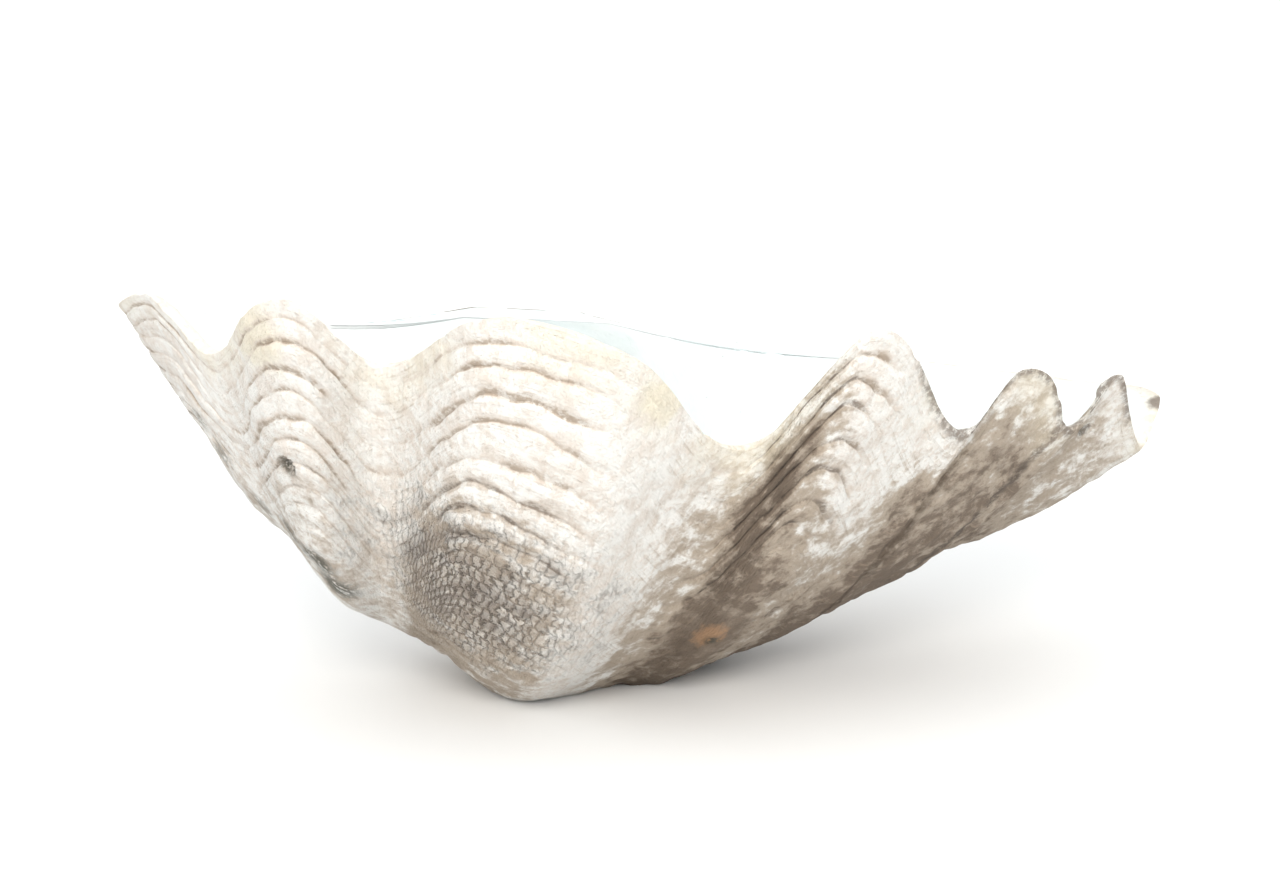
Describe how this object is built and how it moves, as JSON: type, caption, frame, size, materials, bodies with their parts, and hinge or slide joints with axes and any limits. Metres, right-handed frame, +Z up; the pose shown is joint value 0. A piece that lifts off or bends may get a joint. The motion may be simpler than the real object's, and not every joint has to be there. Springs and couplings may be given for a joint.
{
  "type": "giant clam half shell",
  "caption": "Half shell of a giant clam: a deep fan-shaped bowl with a wavy rim, bold round folds and stepped growth ledges, lying free as a display bowl.",
  "frame": {"origin": "centre of the bounding box at its base, on the surface that the shell lies on", "axes": "+X along the hinge, to the right as seen from the wavy free margin, -Y towards that margin, +Z up"},
  "size_m": [0.7588, 0.4602, 0.2951],
  "materials": {
    "shell": "matt chalky shell, satin and whiter inside, with grey-brown dirt in the growth lines"
  },
  "bodies": {
    "root": {"half_shell": "shell"}
  },
  "joints": []
}
